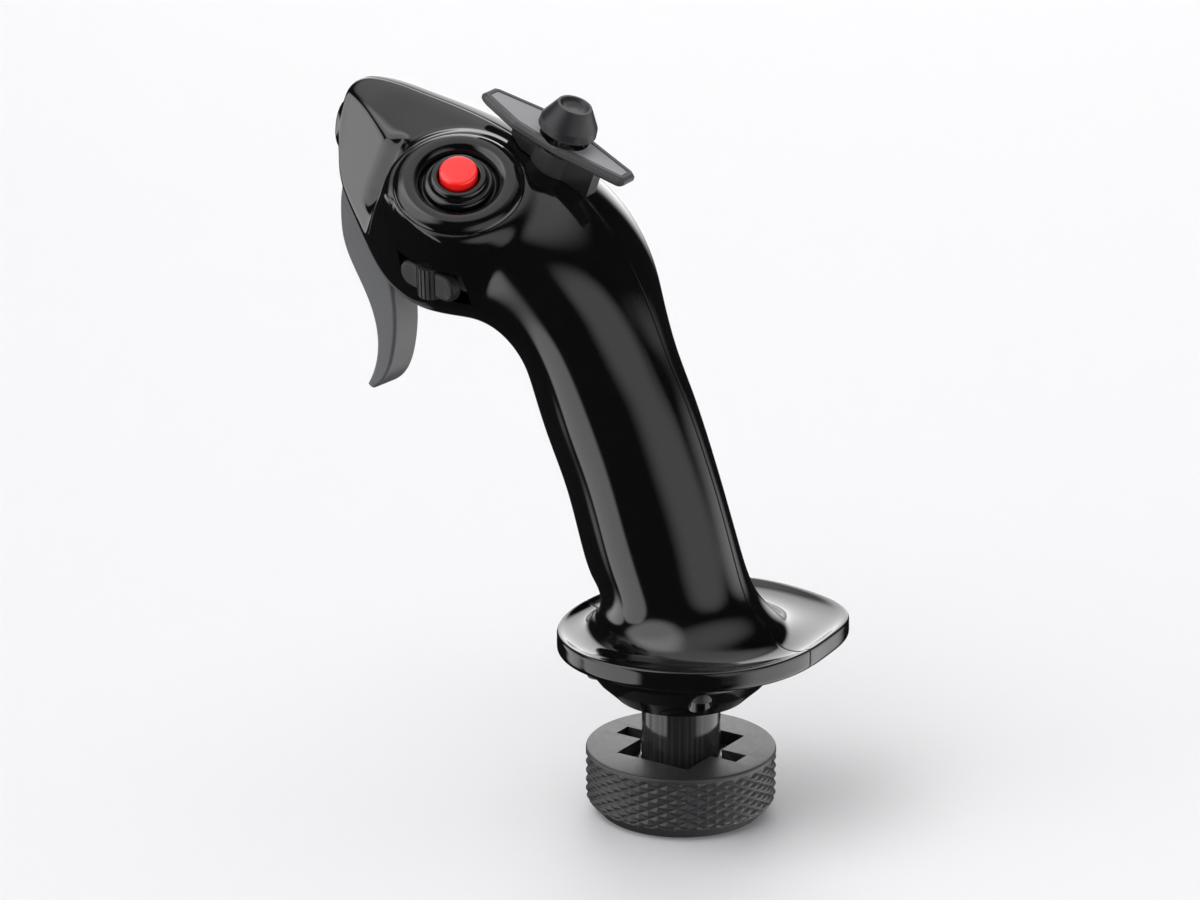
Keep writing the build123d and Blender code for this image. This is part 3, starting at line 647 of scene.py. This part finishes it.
# ---------------------------------------------------------------- thumb button
BEZEL = [
    (15.35, -3.0), (15.35, 0.2), (15.0, 0.75), (14.2, 1.4), (13.0, 1.95), (11.9, 2.1), (10.8, 1.9),
    (9.8, 1.3), (9.1, 0.4), (8.85, -0.7), (8.35, -0.7), (8.25, 0.9), (7.7, 1.35), (6.95, 1.5),
    (6.75, 2.7), (6.3, 3.15), (5.3, 3.3), (4.85, 3.0), (4.75, 1.0), (4.75, -3.0), (15.35, -3.0),
]
BEZEL_ROUNDING = [0.35] * len(BEZEL)
CAP = [(0, 5.42), (1.5, 5.4), (3.0, 5.32), (4.45, 5.1), (4.5, 3.6), (4.5, 0.0), (0, 0.0)]
CAP_ROUNDING = [0, 0.1, 0.1, 0.9, 0.1, 0.3, 0]

bezel_profile = rounded(BEZEL, BEZEL_ROUNDING, steps=4)
bezel = turned("bezel_ring", bezel_profile, BUTTON, columns=192, smooth_angle=60)
place(bezel, "grip", "gloss_shell", "thumb_bezel")
cap_profile = rounded(CAP, CAP_ROUNDING, steps=7)
cap = turned("button_cap", cap_profile, BUTTON, columns=128, smooth_angle=50)
place(cap, "thumb_button", "red_gloss", "red_button")


# ---------------------------------------------------------------- locking nut
NUT_RADIUS = 23.0
NUT_SMOOTH_ANGLE = 28.0
NUT_CHAMFER_HEIGHT = 3.6
NUT_CHAMFER_DEPTH = 3.3
NUT_BELOW_KNURL = (0.0, 0.4, 1.0, 1.8, 2.6)     # heights of the rows of points there
NUT_TOP_EDGE = (                                # (height, inset) of the rows of its rounded top edge
    (15.45, 0.0), (15.7, 0.06), (15.88, 0.2), (15.97, 0.42), (16.0, 0.7),
)
KNURL_LOW, KNURL_HIGH = 3.0, 14.9
KNURL_ROWS = np.linspace(3.0, 15.2, 106)
KNURL_DEPTH = 0.5
KNURL_AROUND = 30               # diamonds round the nut
KNURL_PITCH = 2.3               # height of a diamond
KNURL_COLUMNS = 24              # points across a diamond
KNURL_FILL = 1.35               # past 1 it flattens the diamonds' points
KNURL_RUN_OUT = 0.35            # height over which the knurl fades into the bands
THREAD_BORE = (16.92, -1.0, 8.0)                                # (radius, bottom, top)
RELIEF_BORE = (18.1, 7.9, 12.5)
NUT_WINDOW = ((-13.0, -10.0, 12.0), (13.0, 10.0, 17.0))
NUT_WINDOW_ARM = ((-2.5, -17.0, 12.0), (2.5, 17.0, 17.0))       # the narrow slot across it


def triangle(x):
    """0 at whole numbers and 1 halfway between them."""
    return 1 - np.abs(2 * (x - np.floor(x)) - 1)


def knurled_side(around, heights):
    """Radius of the nut's side: diamonds between two bands over a chamfer."""
    turn, z = np.meshgrid(around, heights)
    a = turn * KNURL_AROUND / (2 * math.pi)
    b = (z - KNURL_LOW) / KNURL_PITCH
    relief = np.clip(np.minimum(triangle(a + b), triangle(a - b)) * KNURL_FILL, 0, 1)
    inside = np.clip((z - KNURL_LOW) / KNURL_RUN_OUT, 0, 1) * np.clip((KNURL_HIGH - z) / KNURL_RUN_OUT, 0, 1)
    chamfer = np.clip((NUT_CHAMFER_HEIGHT - z) / NUT_CHAMFER_HEIGHT, 0, 1) * NUT_CHAMFER_DEPTH
    return NUT_RADIUS - KNURL_DEPTH * (1 - relief) * inside - chamfer


def locking_nut():
    """Knurled nut: a dense side wall closed by two flat ends."""
    columns = KNURL_AROUND * KNURL_COLUMNS
    around = np.linspace(0, 2 * math.pi, columns, endpoint=False)
    top_heights, top_insets = np.array(NUT_TOP_EDGE).T
    heights = np.concatenate([NUT_BELOW_KNURL, KNURL_ROWS, top_heights])
    radius = knurled_side(around, heights)
    radius[-len(top_insets):] -= top_insets[:, None]
    side = ring_points(radius, heights[:, None], around).reshape(-1, 3)
    hubs = [(0, 0, heights[0]), (0, 0, heights[-1])]
    bottom_hub, top_hub, top = len(side), len(side) + 1, len(side) - columns
    faces = grid_faces(len(heights), columns, wrap=True)
    faces += [((j + 1) % columns, j, bottom_hub) for j in range(columns)]
    faces += [(top + j, top + (j + 1) % columns, top_hub) for j in range(columns)]
    return make_object("nut_body", np.concatenate([side, hubs]), faces, smooth_angle=NUT_SMOOTH_ANGLE)


nut = locking_nut()
nut_tools = [
    rod_shape("cut_thread", *THREAD_BORE), rod_shape("cut_relief", *RELIEF_BORE),
    box_shape("cut_window", *NUT_WINDOW), box_shape("cut_arm", *NUT_WINDOW_ARM),
]
cut(nut, nut_tools, NUT_SMOOTH_ANGLE)
remove(nut_tools)
place(nut, "nut", "nut_dark", "lock_nut")


# ---------------------------------------------------------------- stage
ROOM_PROFILE = [                # (radius, height): a flat floor that curves up into the wall
    (0, 0), (400, 0), (1000, 0), (2200, 0), (2700, 60), (3100, 220), (3400, 500), (3600, 1000),
    (3650, 2000), (3650, 3500),
]


def studio():
    """A round pale room, which leaves no reflection in the object and casts no shadow."""
    room = turned("studio_floor", ROOM_PROFILE, None, columns=96, smooth_angle=SMOOTH_ANGLE)
    paint(room, material("studio_white", (0.66, 0.66, 0.67), 0.6)[0])
    room.visible_glossy = False
    room.visible_shadow = False


LIGHT_TARGET = (0, 0.02, 0.08)  # in metres, like the places and sizes of the lights


def soft_light(name, place_m, size, power):
    """A square soft light that leaves no reflection of its own."""
    light = bpy.data.lights.new(name, "AREA")
    light.shape = "SQUARE"
    light.size = size
    light.energy = power
    made = bpy.data.objects.new(name, light)
    bpy.context.scene.collection.objects.link(made)
    made.location = place_m
    direction = Vector(LIGHT_TARGET) - made.location
    made.rotation_euler = direction.to_track_quat("-Z", "Y").to_euler()
    made.visible_camera = False
    made.visible_glossy = False


# What the gloss reflects: soft boxes as (direction from the object, reach, width of the edge, power),
# with reach and edge in degrees.
SOFT_BOXES = [
    ((-0.75, 0.58, -0.27), 24, 6, 2.2),         # left, low: the bright strip along the shaft
    ((-0.14, 0.98, -0.15), 12, 9, 1.9),         # front: the flat of the nose
    ((0.45, -0.72, -0.42), 24, 26, 2.4),        # rear right, low: the shaft's back and the flange's edge
    ((0.84, 0.45, 0.30), 17, 13, 2.7),          # right front: the white of the head's top and the palm rest
    ((0.12, 0.10, 0.99), 24, 26, 1.2),          # overhead
    ((-0.62, 0.42, 0.66), 20, 16, 2.4),         # left, high: the button's bezel
    ((-0.35, -0.94, 0.15), 10, 24, 1.2),        # rear: the grey band on the back of the shaft
]
ROOM_LEVEL = 0.012              # brightness between them


def studio_world():
    """Dark surroundings with the soft boxes in them."""
    world = bpy.data.worlds.new("studio")
    bpy.context.scene.world = world
    world.use_nodes = True
    tree = world.node_tree
    direction = tree.nodes.new("ShaderNodeTexCoord").outputs["Generated"]
    total = tree.nodes.new("ShaderNodeValue").outputs[0]
    total.default_value = ROOM_LEVEL
    for toward, reach, edge, power in SOFT_BOXES:
        facing = tree.nodes.new("ShaderNodeVectorMath")
        facing.operation = "DOT_PRODUCT"
        facing.inputs[1].default_value = Vector(toward).normalized()
        tree.links.new(direction, facing.inputs[0])
        patch = tree.nodes.new("ShaderNodeMapRange")
        patch.interpolation_type = "SMOOTHSTEP"
        patch.inputs["From Min"].default_value = math.cos(math.radians(reach + edge))
        patch.inputs["From Max"].default_value = math.cos(math.radians(reach))
        patch.inputs["To Max"].default_value = power
        tree.links.new(facing.outputs["Value"], patch.inputs["Value"])
        add = tree.nodes.new("ShaderNodeMath")
        add.operation = "ADD"
        tree.links.new(total, add.inputs[0])
        tree.links.new(patch.outputs["Result"], add.inputs[1])
        total = add.outputs[0]
    tree.links.new(total, tree.nodes["Background"].inputs["Strength"])
    tree.nodes["Background"].inputs["Color"].default_value = (1, 1, 1, 1)


CAMERA_PLACE = (-746.98, -466.77, 371.88)
CAMERA_TURN = (72.284, 0.0, -56.727)    # in degrees about X, Y and Z
CAMERA_LENS = 117.62
CAMERA_SENSOR = 36.0


def camera():
    """A long lens from behind, the left and above."""
    data = bpy.data.cameras.new("view")
    data.lens = CAMERA_LENS
    data.sensor_width = CAMERA_SENSOR
    data.clip_start, data.clip_end = 0.05, 20.0
    made = bpy.data.objects.new("view", data)
    bpy.context.scene.collection.objects.link(made)
    made.location = Vector(CAMERA_PLACE) * MM
    made.rotation_euler = [math.radians(turn) for turn in CAMERA_TURN]
    bpy.context.scene.camera = made


studio()
studio_world()
soft_light("key", (-0.7, 0.3, 1.5), size=1.4, power=8.0)
soft_light("back", (1.3, 0.9, 0.9), size=1.2, power=3.5)
camera()
scene = bpy.context.scene
scene.view_settings.view_transform = "Standard"
scene.view_settings.look = "None"
